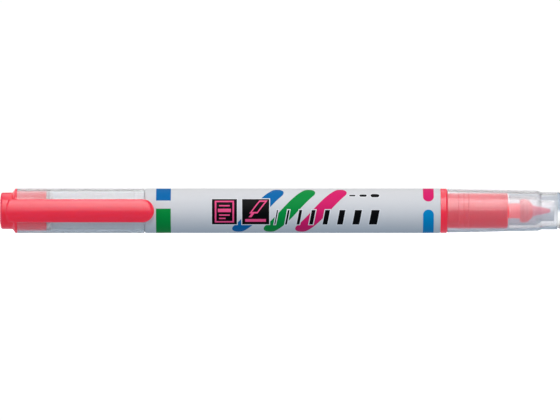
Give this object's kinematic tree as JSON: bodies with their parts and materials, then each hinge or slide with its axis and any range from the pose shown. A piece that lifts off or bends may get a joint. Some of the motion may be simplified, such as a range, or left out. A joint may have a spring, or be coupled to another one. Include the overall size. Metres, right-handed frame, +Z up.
{
  "type": "twin-tip highlighter marker",
  "caption": "Double-ended highlighter: ribbed tube barrel with fibre reservoir, fine tip under a clear clip cap, chisel tip under a clear plain cap.",
  "frame": {"origin": "on the pen's axis, at the middle of the barrel", "axes": "+X along the pen towards the chisel tip, pocket clip towards -Y, +Z up with the pen lying down"},
  "size_m": [0.1466, 0.0144, 0.0116],
  "materials": {
    "barrel_white": "pearly gloss, printed",
    "holder_white": "gloss",
    "holder_pink": "gloss",
    "pink_plastic": "translucent gloss",
    "clip_plastic": "gloss",
    "clear_plastic": "clear gloss",
    "clear_seal_plastic": "clear satin",
    "seal_plastic": "milky satin",
    "nib_fibre": "ink-soaked felt",
    "ink_fibre": "ink-soaked fibre",
    "wrap_film": "clear film"
  },
  "bodies": {
    "barrel": {"barrel_tube": "barrel_white", "reservoir_wrap": "wrap_film", "ink_reservoir": "ink_fibre", "fine_holder": "holder_white", "fine_nib": "nib_fibre", "chisel_holder": "holder_pink", "chisel_nib": "nib_fibre"},
    "fine_cap": {"fine_cap_tube": "clear_plastic", "clip_plug": "pink_plastic", "fine_inner_cap": "seal_plastic"},
    "clip": {"pocket_clip": "clip_plastic"},
    "chisel_cap": {"chisel_cap_shell": "clear_plastic", "chisel_inner_cap": "clear_seal_plastic"}
  },
  "joints": [
    {"name": "fine_cap_pull", "type": "slide", "parent": "barrel", "child": "fine_cap", "axis": [-1, 0, 0], "range_m": [0, 0.04]},
    {"name": "clip_flex", "type": "hinge", "parent": "fine_cap", "child": "clip", "pos_m": [-0.07226, -0.0086, 0], "axis": [0, 0, -1], "range_deg": [0, 5], "stiffness_Nm_per_rad": 1.5},
    {"name": "chisel_cap_pull", "type": "slide", "parent": "barrel", "child": "chisel_cap", "axis": [1, 0, 0], "range_m": [0, 0.035]}
  ]
}
